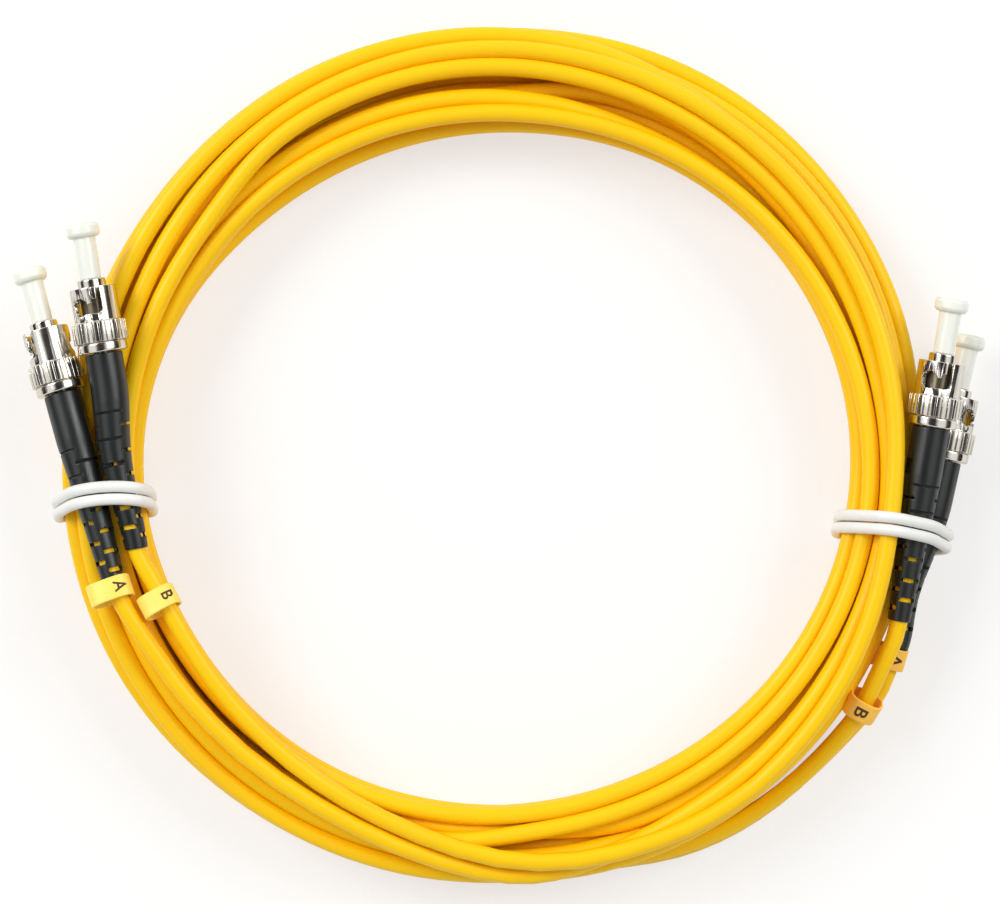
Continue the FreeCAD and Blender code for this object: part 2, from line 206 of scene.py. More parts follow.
# Cables A and B: two fibre cables in a satin yellow jacket, 3 mm thick and about 5 m long, wound side by
# side into one ring. They leave the right-hand connectors low on the outside, pile up turn by turn
# between the eye and the rim, and come out on top to the left-hand connectors.
jacket_d = 3.0
stations = 72
whole_turns = 11
ring_middle = np.array((-0.2, -0.85))
eye_radii = (59.1, 58.0, 56.3, 54.1, 52.9, 57.5, 59.8, 59.1, 59.0, 58.3, 58.1, 58.8)
rim_radii = (70.5, 73.4, 74.6, 73.4, 72.6, 72.1, 73.2, 73.6, 72.2, 71.9, 71.9, 71.4)
right_routes = {
    "a": [(65.4, -37.7, 8.91), (63.4, -42.2, 7.3), (59.7, -46.9, 5.2), (53.6, -53.7, 2.2),
          (47.1, -59.5, 1.6), (40.4, -64.0, 1.6), (33.6, -67.1, 1.6), (26.9, -69.0, 1.6), (15.0, -70.5, 1.6)],
    "b": [(66.18, -31.15, 14.47), (63.4, -37.0, 13.3), (60.9, -43.2, 11.3), (57.2, -48.4, 8.9),
          (51.2, -55.2, 6.0), (44.4, -60.7, 4.9), (37.5, -64.7, 4.7), (30.7, -67.2, 4.7), (24.0, -68.8, 4.7),
          (15.0, -70.0, 4.7)],
}
left_routes = {
    "a": [(-63.46, -23.26, 19.27), (-62.0, -26.2, 19.2), (-59.6, -29.9, 18.9), (-56.6, -34.3, 18.6),
          (-52.3, -40.5, 18.3), (-43.2, -50.1, 17.9), (-30.5, -58.9, 17.7), (-17.0, -65.8, 17.2),
          (-3.3, -70.3, 15.3), (6.0, -71.0, 14.3)],
    "b": [(-59.95, -17.27, 19.15), (-58.2, -19.9, 19.3), (-55.6, -24.6, 19.3), (-52.0, -31.1, 19.0),
          (-47.2, -38.6, 18.6), (-41.4, -45.2, 18.3), (-34.9, -51.4, 18.1), (-25.6, -57.9, 17.9),
          (-13.3, -63.9, 17.8), (0.0, -68.1, 17.6), (13.3, -68.3, 17.2), (26.6, -64.7, 16.8),
          (35.5, -60.6, 16.6), (42.4, -55.8, 16.4)],
}

bearing = -2 * np.pi * np.arange(stations) / stations


def round_the_ring(radii):
    """Radius at each station, a smooth closed curve through values every 30 degrees anticlockwise."""
    values = np.array(radii)
    count = len(values)
    place = np.mod(bearing, 2 * np.pi) / (2 * np.pi) * count
    low = np.floor(place).astype(int)
    part = place - low
    before, here, after, beyond = (values[(low + shift) % count] for shift in (-1, 0, 1, 2))
    return here + 0.5 * part * (after - before + part * (
        2 * before - 5 * here + 4 * after - beyond + part * (3 * (here - after) + beyond - before)))


eye, rim = round_the_ring(eye_radii), round_the_ring(rim_radii)

# Each cable is a row of points, one per station and turn: distance from the ring's middle and height.
# At first they lie in level rows of four, each row wound back over the one below, lower where the ring
# is wide.
count = int(stations * (whole_turns + 0.5)) + 1
turn_step = np.arange(count)
station = turn_step % stations
lay = np.zeros((2, count, 2))
fixed = np.zeros((2, count), bool)
present = np.ones((2, count), bool)
row_strands, row_rise = 4, 2.5
usual_width, width_power = 13.0, 0.8
free_runs = []
for cable, letter in enumerate("ab"):
    strand = 2 * turn_step / stations + cable
    row = np.floor(strand / row_strands)
    across = strand / row_strands - row
    across = np.where(row % 2 == 1, 1 - across, across)
    outer, inner = rim[station] - jacket_d / 2, eye[station] + jacket_d / 2
    lay[cable, :, 0] = outer + (inner - outer) * across
    spread = (rim - eye)[station] / usual_width
    lay[cable, :, 1] = (jacket_d / 2 + row_rise * strand / row_strands) / spread ** width_power
    run = []
    for route, first in ((right_routes[letter], 0), (left_routes[letter], whole_turns * stations)):
        route = np.array(route)
        flat = route[:, :2] - ring_middle
        step = np.mod(-np.arctan2(flat[:, 1], flat[:, 0]) * stations / (2 * np.pi), stations) + first
        order = np.argsort(step)
        step, reach, height = step[order], np.hypot(*flat.T)[order], route[order, 2]
        held = (turn_step >= step[0]) & (turn_step <= step[-1])
        lay[cable, held] = np.stack(
            [np.interp(turn_step[held], step, reach), np.interp(turn_step[held], step, height)], 1)
        fixed[cable, held] = True
        if first == 0:
            present[cable, turn_step < step[0]] = False
            run.append(math.ceil(step[-1]))
        else:
            present[cable, turn_step > step[-1]] = False
            run.append(math.floor(step[0]))
    free_runs.append(run)

# The connectors that the turns have to clear: where each one crosses every station, and how thick.
rears = {}
axes = {}
for joint in frame["record"]["behaviour"]["joints"]:
    if joint["name"].endswith("_nut_turn"):
        end = joint["name"][:-len("_nut_turn")]
        rears[end] = np.array(joint["pos_m"]) * 1000
        axes[end] = np.array(joint["axis"])
knurl_radius, boot_radius, boot_tip_radius, cap_radius = 4.5, 3.1, 1.9, 2.8
nut_front, cap_front, boot_rear, boot_plain = 10.8, 21.5, -33.0, -8.0
no_block = -100.0
outward = np.stack([np.cos(bearing), np.sin(bearing)], 1)
sideways = np.stack([-outward[:, 1], outward[:, 0]], 1)
blocks = []
for end in ends:
    forward = ((ring_middle - rears[end][:2]) @ sideways.T) / (axes[end][:2] @ sideways.T)
    crossing = rears[end] + axes[end] * forward[:, None]
    reach = ((crossing[:, :2] - ring_middle) * outward).sum(1)
    taper = np.interp(forward, (boot_rear, boot_plain), (boot_tip_radius, boot_radius))
    radius = np.where(forward < 0, taper, np.where(forward < nut_front, knurl_radius, cap_radius))
    missed = (reach < 0) | (forward < boot_rear) | (forward > cap_front)
    blocks.append((reach, crossing[:, 2], np.where(missed, no_block, radius)))

# The turns settle like loose cable: they sink, push each other a diameter apart, stay on the table, on
# the ties and clear of the connectors, and keep a smooth line. Seen from the camera they keep between the
# eye and the rim, and inside of the upper right-hand connector.
tie_degrees = {"left_tie": 186.3, "right_tie": 349.0}
tie_reach, tie_bump, tie_slope = 66.0, 2.1, 5.0
floor = np.full(stations, jacket_d / 2)
for tie_bearing in np.radians(list(tie_degrees.values())):
    away = np.abs(np.mod(bearing - tie_bearing + np.pi, 2 * np.pi) - np.pi) * tie_reach
    floor += tie_bump * np.exp(-(away / tie_slope) ** 2)
at_station = [np.flatnonzero((np.tile(station, 2) == s) & present.ravel()) for s in range(stations)]
width = max(len(group) for group in at_station)
spare = 2 * count
members = np.full((stations, width), spare)
for s, group in enumerate(at_station):
    members[s, :len(group)] = group
far_away = 900.0
points = np.vstack([lay.reshape(-1, 2), [[far_away, far_away]]])
free = np.append((present & ~fixed).ravel(), False)
where = np.append(np.tile(station, 2), 0)
first_reach = points[:, 0].copy()
mobile = free[members].astype(float)
share = mobile[:, :, None] * np.where(mobile[:, None, :] > 0, 0.5, 1.0)
share[:, np.arange(width), np.arange(width)] = 0.0
cone_height = 13.0
parting_bearings = np.radians((62.0, 87.0, 112.0))
parting_radii = (60.5, 63.2, 63.9)
parting_height, parting_gap, parting_push = 7.0, 0.9, 0.3
turned = np.mod(bearing, 2 * np.pi)
parting = np.interp(turned, parting_bearings, parting_radii)
parting_half = parting_gap * np.sin(np.pi * np.clip(
    (turned - parting_bearings[0]) / (parting_bearings[2] - parting_bearings[0]), 0, 1))

# At the far side the uppermost turns fan out, cross over the lower ones and close up again towards the
# left: the lane of each, as bearing in degrees and distance, by cable and turn.
far_lanes = {
    (0, 10): ((60, 64.4), (90, 65.7), (108, 65.5), (127, 64.3), (142, 63.4), (150, 62.8), (158, 62.4),
              (175, 62.4)),
    (1, 10): ((60, 67.4), (90, 68.9), (108, 68.6), (127, 67.3), (142, 66.0), (150, 64.8), (158, 64.2),
              (175, 64.9)),
    (0, 8): ((60, 70.6), (90, 71.9), (108, 71.6), (127, 70.6), (146, 70.6), (160, 70.2)),
    (1, 7): ((60, 68.4), (90, 69.4), (108, 69.4), (127, 69.0), (146, 69.2), (160, 69.4)),
    (0, 7): ((60, 71.4), (90, 72.2), (108, 72.0), (127, 71.2), (146, 71.4), (160, 71.4)),
    (1, 8): ((60, 64.4), (90, 66.6), (112, 66.4), (127, 65.8), (146, 65.6), (165, 66.2)),
    (0, 9): ((60, 60.0), (90, 60.6), (112, 61.2), (131, 62.1), (143, 61.6), (160, 61.4)),
    (1, 9): ((60, 57.6), (90, 57.5), (112, 58.5), (128, 59.3), (139, 60.0), (155, 60.6)),
    (1, 5): ((65, 57.2), (90, 55.5), (114, 55.2), (130, 56.0), (143, 57.4), (158, 59.8)),
}
loose_hold, lane_hold, lane_ease = 0.01, 0.08, 15.0
lane_pull = np.full(len(points), loose_hold)
for (cable, turn), lane in far_lanes.items():
    steps = cable * count + np.arange(turn * stations, (turn + 1) * stations)
    degrees, reaches = np.array(lane).T
    place = np.degrees(turned[where[steps]])
    into = np.clip(np.minimum(place - degrees[0], degrees[-1] - place) / lane_ease, 0, 1)
    points[steps, 0] += (np.interp(place, degrees, reaches) - points[steps, 0]) * into
    first_reach[steps] = points[steps, 0]
    lane_pull[steps] += lane_hold * into

# At the far and near sides no turn may leave the box of the CAD part.
box_margin, least_slope = 0.25, 0.5
box_side = np.where(np.sin(bearing) > 0, cad_box[1][1], cad_box[0][1]) * 1000 - ring_middle[1]
box_reach = (np.abs(box_side) - jacket_d / 2 - box_margin) / np.maximum(np.abs(np.sin(bearing)), least_slope)
bendable = free[:-1].reshape(2, count)[:, 1:-1, None]
settle_steps = 500
sinking, last_sinking, least_pull, give, straightening = 0.06, 0.01, 0.3, 0.6, 0.4
connector_gap, beside_gap, upper_strands = 0.1, 0.2, 2.0
camera_mm = camera_height * 1000
for step in range(settle_steps):
    slack = 1 - step / settle_steps
    points[free, 1] -= sinking * slack + last_sinking
    points[free, 0] += ((first_reach - points[:, 0]) * lane_pull)[free] * max(slack, least_pull)
    for repeat in range(3):
        group = points[members]
        apart = group[:, :, None] - group[:, None]
        distance = np.sqrt((apart ** 2).sum(-1)) + 1e-9
        push = np.clip(jacket_d - distance, 0, None) * share / distance
        shift = np.zeros_like(points)
        np.add.at(shift, members.ravel(), ((apart * push[..., None]).sum(2) * give).reshape(-1, 2))
        points[free] += shift[free]
        for reach, height, radius in blocks:
            off = points - np.stack([reach, height], 1)[where]
            distance = np.sqrt((off ** 2).sum(1)) + 1e-9
            push = np.clip(radius[where] + jacket_d / 2 + connector_gap - distance, 0, None) / distance
            points[free] += (off * push[:, None])[free]
        reach, height, radius = blocks[ends.index("right_b")]
        level = (camera_mm - points[:, 1]) / (camera_mm - height[where])
        beyond = points[:, 0] - (reach - radius - jacket_d / 2 - beside_gap)[where] * level
        upper = (radius[where] > 0) & (points[:, 1] > height[where] - upper_strands)
        on_top = free & upper & (beyond > 0)
        points[on_top, 0] -= 0.5 * beyond[on_top]
        points[free, 1] = np.maximum(points[free, 1], floor[where[free]])
        cone = (camera_mm - points[:, 1]) / (camera_mm - cone_height)
        inside = np.clip(eye[where] * cone + jacket_d / 2 - points[:, 0], 0, None)
        outside = np.clip(points[:, 0] - rim[where] * cone + jacket_d / 2, 0, None)
        points[free, 0] += (0.5 * inside - 0.5 * outside)[free]
        points[free, 0] = np.minimum(points[free, 0], box_reach[where[free]])
        off = points[:, 0] - parting[where]
        short = np.clip(jacket_d / 2 + parting_half[where] - np.abs(off), 0, None)
        high = (points[:, 1] > parting_height) & (parting_half[where] > 0)
        points[free & high, 0] += (parting_push * np.sign(off) * short)[free & high]
    rows = points[:-1].reshape(2, count, 2)
    for repeat in range(3):
        middle = 0.5 * (rows[:, :-2] + rows[:, 2:])
        rows[:, 1:-1] += np.where(bendable, straightening * (middle - rows[:, 1:-1]), 0.0)
lay = points[:-1].reshape(2, count, 2)


def node_group(name, kind, inputs, outputs):
    """A node group with named sockets of the given kinds, and its input and output nodes."""
    group = bpy.data.node_groups.new(name, kind)
    for in_out, sockets in (("INPUT", inputs), ("OUTPUT", outputs)):
        for socket, holds in sockets.items():
            group.interface.new_socket(socket, in_out=in_out, socket_type="NodeSocket" + holds)
    return group, group.nodes.new("NodeGroupInput"), group.nodes.new("NodeGroupOutput")


# Marks on a surface, shared by every material: soft clouds and a fine grain, both from 0 to 1, at sizes
# in mm.
marks_group, given, made = node_group(
    "surface_marks", "ShaderNodeTree", {"Position": "Vector", "Cloud Size": "Float", "Grain Size": "Float"},
    {"Cloud": "Float", "Grain": "Float"})
for mark, detail in (("Cloud", 3.0), ("Grain", 1.0)):
    per_metre = added(marks_group, "ShaderNodeMath", {0: 1000.0}, operation="DIVIDE")
    noise = added(marks_group, "ShaderNodeTexNoise", {"Detail": detail})
    linked(
        marks_group, (given, mark + " Size", per_metre, 1), (per_metre, 0, noise, "Scale"),
        (given, "Position", noise, "Vector"), (noise, "Fac", made, mark))


def toned_material(name, pale, deep, smooth, rough, cloud_size, grain_size, relief,
                   squeeze=(1.0, 1.0, 1.0), shading={}):
    """A material that drifts between two tones and two roughnesses, with a fine relief; sizes in mm.

    A squeeze below 1 along an axis draws the marks out into streaks that way. Shading is what else the
    shader takes.
    """
    material, tree, shader = new_material(name, shading)
    place = added(tree, "ShaderNodeTexCoord")
    streaks = added(tree, "ShaderNodeMapping", {"Scale": squeeze})
    marks = added(tree, "ShaderNodeGroup", {"Cloud Size": cloud_size, "Grain Size": grain_size},
                  node_tree=marks_group)
    tone = added(tree, "ShaderNodeMix", {"A": pale, "B": deep}, data_type="RGBA", name="tone")
    polish = added(tree, "ShaderNodeMapRange", {
        "From Min": 0.3, "From Max": 0.7, "To Min": smooth, "To Max": rough})
    bump = added(tree, "ShaderNodeBump", {"Distance": relief / 1000}, name="relief")
    linked(
        tree, (place, "Object", streaks, "Vector"), (streaks, "Vector", marks, "Position"),
        (marks, "Cloud", polish, "Value"), (marks, "Cloud", tone, "Factor"),
        (marks, "Grain", bump, "Height"), (tone, "Result", shader, "Base Color"),
        (polish, "Result", shader, "Roughness"), (bump, "Normal", shader, "Normal"))
    return material


jacket = toned_material(
    "yellow_jacket", srgb(251, 205, 10), srgb(250, 195, 2), smooth=0.34, rough=0.44,
    cloud_size=14.0, grain_size=0.35, relief=0.012, shading={"Specular IOR Level": 0.25})

# In two of the boots the soft part is bent sideways: how far in mm, where along it the bend sits, and how
# far the tip is pulled aside.
crimp_behind, boot_tip_behind = 6.2, 30.0
bend_start, bend_middle, bend_length, bend_overshoot = 4.0, 20.0, 29.0, 1.25
boot_bends = {"left_b": (-0.9, 1.0, 0.0), "right_a": (-1.2, 1.6, -0.9)}


def boot_bend(end, behind):
    """Sideways shift of a bent boot's middle at a distance behind the nut."""
    amount, crowding, tip = boot_bends.get(end, (0.0, 1.0, 0.0))
    share = min(max((behind - bend_start) / bend_length, 0.0), 1.0)
    return amount * math.sin(math.pi * share ** crowding) ** 2 + tip * share ** 4


def placed(name, data, body, slot, *stands_for):
    """An object of a mesh or curve that rides on a body, with the CAD nodes it stands for; the slot is not
    used.
    """
    data.name = name
    part = bpy.data.objects.new(name, data)
    scene.collection.objects.link(part)
    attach(part, body)
    if stands_for:
        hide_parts(*stands_for)
    return part


cables = {}
cable_nodes = {"a": ("cable_a", "coil"), "b": ("cable_b",)}
for cable, letter in enumerate("ab"):
    right_end, left_end = ("right_" + letter, "left_" + letter)
    boot_line = {}
    for end in (right_end, left_end):
        across = np.cross(axes[end], (0, 0, 1.0))
        across /= np.linalg.norm(across)
        bend_behind = (bend_middle,) if end in boot_bends else ()
        boot_line[end] = [
            tuple(rears[end] - axes[end] * behind + bend_overshoot * boot_bend(end, behind) * across)
            for behind in (crimp_behind, *bend_behind, boot_tip_behind)]
    route = boot_line[right_end] + right_routes[letter]
    for step in range(free_runs[cable][0], free_runs[cable][1] + 1):
        turn = bearing[step % stations]
        reach, height = lay[cable, step]
        flat = (ring_middle[0] + reach * math.cos(turn), ring_middle[1] + reach * math.sin(turn))
        route.append((*flat, height))
    route += left_routes[letter][::-1]
    route += boot_line[left_end][::-1]
    curve = bpy.data.curves.new("cable_" + letter + "_jacket", "CURVE")
    curve.dimensions = "3D"
    spline = curve.splines.new("NURBS")
    spline.points.add(len(route) - 1)
    for point, place in zip(spline.points, route):
        point.co = (*(value / 1000 for value in place), 1.0)
    spline.order_u = 3
    spline.use_endpoint_u = True
    spline.resolution_u = 2
    curve.bevel_depth = jacket_d / 2000
    curve.bevel_resolution = 6
    curve.use_fill_caps = True
    curve.materials.append(jacket)
    cables[letter] = placed("cable_" + letter + "_jacket", curve, "cord", "jacket", *cable_nodes[letter])

# Ferrule and crimp: a polished ceramic pin carries the fibre in the front of each connector, and a brass
# sleeve, nickel plated and squeezed over stem and jacket, holds the cable. A steel washer backs the nut's
# spring. All of them are the CAD solids, mostly hidden by the nut, boot and cap.
ceramic = toned_material(
    "ferrule_ceramic", srgb(248, 246, 240), srgb(241, 238, 230), smooth=0.12, rough=0.2,
    cloud_size=3.0, grain_size=0.1, relief=0.002)
spring_steel = toned_material(
    "spring_steel", srgb(196, 194, 188), srgb(168, 166, 160), smooth=0.2, rough=0.32,
    cloud_size=1.5, grain_size=0.08, relief=0.004, shading={"Metallic": 1.0})
plain_finishes = {"ferrule": ceramic, "thrust_washer": spring_steel, "crimp_sleeve": spring_steel}
connector_pieces = {end: [nodes[end + "_" + piece] for piece in plain_finishes] for end in ends}
for end in ends:
    for node, material in zip(connector_pieces[end], plain_finishes.values()):
        node.data.materials.clear()
        node.data.materials.append(material)

# Connector body: one piece turned from brass bar and nickel plated, with the stem for the crimp, a flange
# for the spring and a bored barrel. A small key on the barrel lines it up with its socket.
nut_rolls = {"left_a": -53.0, "left_b": 0.0, "right_a": 70.0, "right_b": 0.0}


def eased(outline, steps=4, guard=1.25):
    """Closed outline of (radius, z, trim) corners, each rounded over its trim length.

    A guard point on either side of a rounding keeps the faces next to it flat.
    """
    smooth = []
    for index, (radius, z, trim) in enumerate(outline):
        corner = Vector((radius, z))
        if trim == 0:
            smooth.append(corner)
            continue
        back = (Vector(outline[index - 1][:2]) - corner).normalized() * trim
        ahead = (Vector(outline[(index + 1) % len(outline)][:2]) - corner).normalized() * trim
        smooth.append(corner + back * guard)
        for step in range(steps + 1):
            share = step / steps
            smooth.append(corner + back * (1 - share) ** 2 + ahead * share ** 2)
        smooth.append(corner + ahead * guard)
    return smooth


def mesh_of(work, name):
    """The mesh of bmesh work that is done."""
    mesh = bpy.data.meshes.new(name)
    work.to_mesh(mesh)
    work.free()
    return mesh


def turned_mesh(name, outline, segments):
    """Closed mesh turned about Z from the outline's corners, in mm, keeping how far along each point is."""
    work = bmesh.new()
    along = work.verts.layers.float.new("turned_along")
    rings = []
    for radius, z in eased(outline):
        spokes = segments if radius > 0 else 1
        angles = [2 * math.pi * spoke / spokes for spoke in range(spokes)]
        rings.append([work.verts.new((radius * math.cos(a), radius * math.sin(a), z)) for a in angles])
        for vertex in rings[-1]:
            vertex[along] = z
    for ring, following in zip(rings, rings[1:] + rings[:1]):
        for spoke in range(segments if len(ring) + len(following) > 2 else 0):
            corners = [ring[spoke % len(ring)], ring[(spoke + 1) % segments % len(ring)],
                       following[(spoke + 1) % segments % len(following)], following[spoke % len(following)]]
            work.faces.new(list(dict.fromkeys(corners)))
    bmesh.ops.recalc_face_normals(work, faces=work.faces)
    return mesh_of(work, name)


def joined(name, meshes):
    """One mesh of several."""
    work = bmesh.new()
    for mesh in meshes:
        work.from_mesh(mesh)
    return mesh_of(work, name)


def upright(forward, origin):
    """A frame at a place, with Z forward and X as near to upward as that leaves it."""
    upward = (Vector((0, 0, 1)) - forward * forward.z).normalized()
    place = Matrix((upward, forward.cross(upward), forward)).transposed().to_4x4()
    place.translation = origin
    return place


def connector_place(end, roll):
    """From a connector's own mm, forwards along Z from the rear of its nut, to metres on the coil."""
    place = upright(Vector(axes[end]), Vector(rears[end]) / 1000)
    return place @ Matrix.Rotation(math.radians(roll), 4, "Z") @ Matrix.Scale(0.001, 4)


def fitted(end, piece, shape, roll, material, body, slot, crease=35.0):
    """A connector piece of one end: a copy of the shape in its place, standing for its CAD node."""
    mesh = shape.copy()
    mesh.transform(connector_place(end, roll))
    mesh.materials.clear()
    mesh.materials.append(material)
    for polygon in mesh.polygons:
        polygon.use_smooth = True
        polygon.material_index = 0
    mesh.set_sharp_from_angle(angle=math.radians(crease))
    part = placed(end + "_" + piece + "_detail", mesh, body, slot, end + "_" + piece)
    connector_pieces[end].append(part)
    return part


nickel = toned_material(
    "polished_nickel", srgb(226, 222, 214), srgb(205, 200, 190), smooth=0.1, rough=0.2,
    cloud_size=2.5, grain_size=0.12, relief=0.002, shading={"Metallic": 1.0})
tree = nickel.node_tree
along = added(tree, "ShaderNodeAttribute", attribute_name="turned_along", name="turned_along")
rings = added(tree, "ShaderNodeTexNoise", {"Scale": 14.0}, noise_dimensions="1D")
tool_marks = added(tree, "ShaderNodeBump", {"Strength": 0.25, "Distance": 0.000004})
linked(
    tree, (along, "Fac", rings, "W"), (rings, "Fac", tool_marks, "Height"),
    (tree.nodes["relief"], "Normal", tool_marks, "Normal"),
    (tool_marks, "Normal", tree.nodes["Principled BSDF"], "Normal"))

body_shape = turned_mesh("connector_body", [
    (0, -6.0, 0), (1.5, -6.0, 0.15), (1.5, 5.25, 0), (3.0, 5.25, 0.1), (3.0, 5.85, 0.1), (2.35, 5.85, 0),
    (2.35, 12.2, 0.28), (1.3, 12.2, 0.12), (1.3, 7.95, 0), (0, 7.95, 0),
], 72)
key_middle, key_size, key_edge = (2.5, 0.3, 9.8), (0.8, 0.9, 2.0), 0.16
barrel_front = 12.0
key_work = bmesh.new()
along = key_work.verts.layers.float.new("turned_along")
key_place = Matrix.Translation(key_middle) @ Matrix.Diagonal((*key_size, 1))
bmesh.ops.create_cube(key_work, size=1.0, matrix=key_place)
bmesh.ops.bevel(key_work, geom=key_work.edges[:], offset=key_edge, segments=3, affect="EDGES", profile=0.5)
# The key's points count as the front of the barrel, so the painted bore shade stays off the key.
for vertex in key_work.verts:
    vertex[along] = barrel_front
body_shape = joined("connector_body", [body_shape, mesh_of(key_work, "alignment_key")])

# Inside the nut the barrel is painted darker and less metallic than at its front and on the key: painted
# shade in the nut's bore.
body_nickel = nickel.copy()
body_nickel.name = "body_nickel"
tree = body_nickel.node_tree
shader = tree.nodes["Principled BSDF"]
out_of_nut = added(tree, "ShaderNodeMapRange", {"From Min": 10.0, "From Max": 10.8})
# Painted shade: a dark brown-grey stands in for the shade in the nut's bore, and the metal share falls with
# it.
painted_bore_shade = added(tree, "ShaderNodeMix", {"A": srgb(132, 122, 102)}, data_type="RGBA")
brightness = added(tree, "ShaderNodeMapRange", {"To Min": 0.7})
linked(
    tree, (tree.nodes["turned_along"], "Fac", out_of_nut, "Value"),
    (out_of_nut, "Result", painted_bore_shade, "Factor"), (tree.nodes["tone"], "Result", painted_bore_shade, "B"),
    (painted_bore_shade, "Result", shader, "Base Color"), (out_of_nut, "Result", brightness, "Value"),
    (brightness, "Result", shader, "Metallic"))
for end in ends:
    fitted(end, "connector_body", body_shape, nut_rolls[end], body_nickel, "cord", "nickel")

# Bayonet coupling nut: turned from brass and nickel plated, with a plain ring at the rear, a knurled grip
# and a thin barrel. Two J-shaped slots are milled through the barrel, each ending in a round hole for the
# socket's lug. The nut is loose on the body, against the spring.
slot_radius = 3.85
slot_angles = (0.0, 180.0)


def carved(mesh, cutter, edge):
    """The mesh with the cutter taken out of it and the edges of the cut rounded."""
    work, tool = (bpy.data.objects.new(item.name, item) for item in (mesh, cutter))
    for item in (work, tool):
        scene.collection.objects.link(item)
    cut = work.modifiers.new("cut", "BOOLEAN")
    cut.operation = "DIFFERENCE"
    cut.solver = "EXACT"
    cut.object = tool
    rounding = work.modifiers.new("rounding", "BEVEL")
    rounding.width = edge
    rounding.segments = 2
    rounding.limit_method = "ANGLE"
    rounding.angle_limit = math.radians(50)
    rounding.use_clamp_overlap = False
    rounding.harden_normals = True
    result = bpy.data.meshes.new_from_object(work.evaluated_get(bpy.context.evaluated_depsgraph_get()))
    for item in (work, tool):
        bpy.data.objects.remove(item)
    return result


def arc(middle, radius, start, stop, steps):
    """Points (across, along) on an arc from one angle in degrees to another."""
    angles = [math.radians(start + (stop - start) * step / steps) for step in range(steps + 1)]
    return [(middle[0] + radius * math.cos(a), middle[1] + radius * math.sin(a)) for a in angles]


def prism(work, inner, outer):
    """Add a closed block to the work, between two outlines of as many places."""
    inner, outer = ([work.verts.new(place) for place in outline] for outline in (inner, outer))
    for index in range(len(inner)):
        work.faces.new((inner[index - 1], inner[index], outer[index], outer[index - 1]))
    work.faces.new(inner)
    work.faces.new(outer)


# The slot laid flat: in from the front at the entry, round the bend, along the channel into the hole. The
# two sides of the entry are in steps of 0.6 mm.
entry, slot_half, bend_along = math.radians(11.0) * slot_radius, 0.85, 7.25
hole, hole_radius = (math.radians(-34.0) * slot_radius, 7.65), 1.45
channel_low, channel_high, corner_round = 6.4, 8.1, 0.3
low_meet = math.degrees(math.asin((channel_low - hole[1]) / hole_radius))
high_meet = math.degrees(math.asin((channel_high - hole[1]) / hole_radius))
slot_outline = [(entry + slot_half, along / 10) for along in range(116, 73, -6)]
slot_outline += arc((entry, bend_along), slot_half, 0, -90, 6)
slot_outline += arc(hole, hole_radius, low_meet, high_meet - 360, 28)
slot_outline += arc((entry - slot_half - corner_round, channel_high + corner_round), corner_round, -90, 0, 4)
slot_outline += [(entry - slot_half, along / 10) for along in range(90, 117, 6)]
cutter_radii = (2.5, 5.2)
cutter = bmesh.new()
for slot_angle in slot_angles:
    spread = [(across / slot_radius + math.radians(slot_angle), along) for across, along in slot_outline]
    prism(cutter, *([(radius * math.cos(a), radius * math.sin(a), along) for a, along in spread]
                    for radius in cutter_radii))
bmesh.ops.recalc_face_normals(cutter, faces=cutter.faces)
bmesh.ops.triangulate(cutter, faces=[face for face in cutter.faces if len(face.verts) > 4])
slot_cutter = mesh_of(cutter, "bayonet_slots")
nut_barrel = carved(turned_mesh("coupling_nut", [
    (1.65, 0, 0.1), (4.1, 0, 0.35), (4.1, 1.5, 0.25), (3.9, 1.6, 0), (4.14, 1.75, 0.05), (4.14, 4.95, 0.05),
    (3.85, 5.15, 0), (3.85, 10.8, 0.14), (3.25, 10.8, 0.1), (3.25, 1.0, 0), (1.65, 1.0, 0),
], 112), slot_cutter, 0.09)

knurl, given, made = node_group(
    "knurl_ridges", "GeometryNodeTree",
    {"Ridges": "Int", "Band Radius": "Float", "Ridge Size": "Vector", "Finish": "Material"},
    {"Geometry": "Geometry"})
band = added(knurl, "GeometryNodeMeshCircle")
ridge = added(knurl, "GeometryNodeMeshCube")
spot = added(knurl, "GeometryNodeInputPosition")
facing = added(knurl, "FunctionNodeAlignRotationToVector", axis="X")
ridges = added(knurl, "GeometryNodeInstanceOnPoints")
solid = added(knurl, "GeometryNodeRealizeInstances")
plated = added(knurl, "GeometryNodeSetMaterial")
linked(
    knurl, (given, "Ridges", band, "Vertices"), (given, "Band Radius", band, "Radius"),
    (given, "Ridge Size", ridge, "Size"), (spot, "Position", facing, "Vector"),
    (facing, "Rotation", ridges, "Rotation"), (band, "Mesh", ridges, "Points"),
    (ridge, "Mesh", ridges, "Instance"), (ridges, "Instances", solid, "Geometry"),
    (solid, "Geometry", plated, "Geometry"), (given, "Finish", plated, "Material"),
    (plated, "Geometry", made, "Geometry"))


def grown(name, mesh, group, settings):
    """The plain mesh that a Geometry Nodes group makes from a mesh, with its named inputs set."""
    work = bpy.data.objects.new(name, mesh)
    scene.collection.objects.link(work)
    modifier = work.modifiers.new(name, "NODES")
    modifier.node_group = group
    for socket in group.interface.items_tree:
        if socket.name in settings:
            modifier[socket.identifier] = settings[socket.name]
    result = bpy.data.meshes.new_from_object(work.evaluated_get(bpy.context.evaluated_depsgraph_get()))
    bpy.data.objects.remove(work)
    return result


knurl_shape = grown("knurl", bpy.data.meshes.new("knurl"), knurl, {
    "Ridges": 28, "Band Radius": 4.12, "Ridge Size": (0.76, 0.8, 3.3), "Finish": nickel})
knurl_middle, ridge_edge = 3.35, 0.09
knurl_shape.transform(Matrix.Translation((0, 0, knurl_middle)))
work = bmesh.new()
work.from_mesh(knurl_shape)
bmesh.ops.bevel(work, geom=work.edges[:], offset=ridge_edge, segments=3, affect="EDGES", profile=0.5)
nut_shape = joined("coupling_nut", [nut_barrel, mesh_of(work, "bevelled_knurl")])
for end in ends:
    fitted(end, "coupling_nut", nut_shape, nut_rolls[end], nickel, end + "_nut", "nickel")
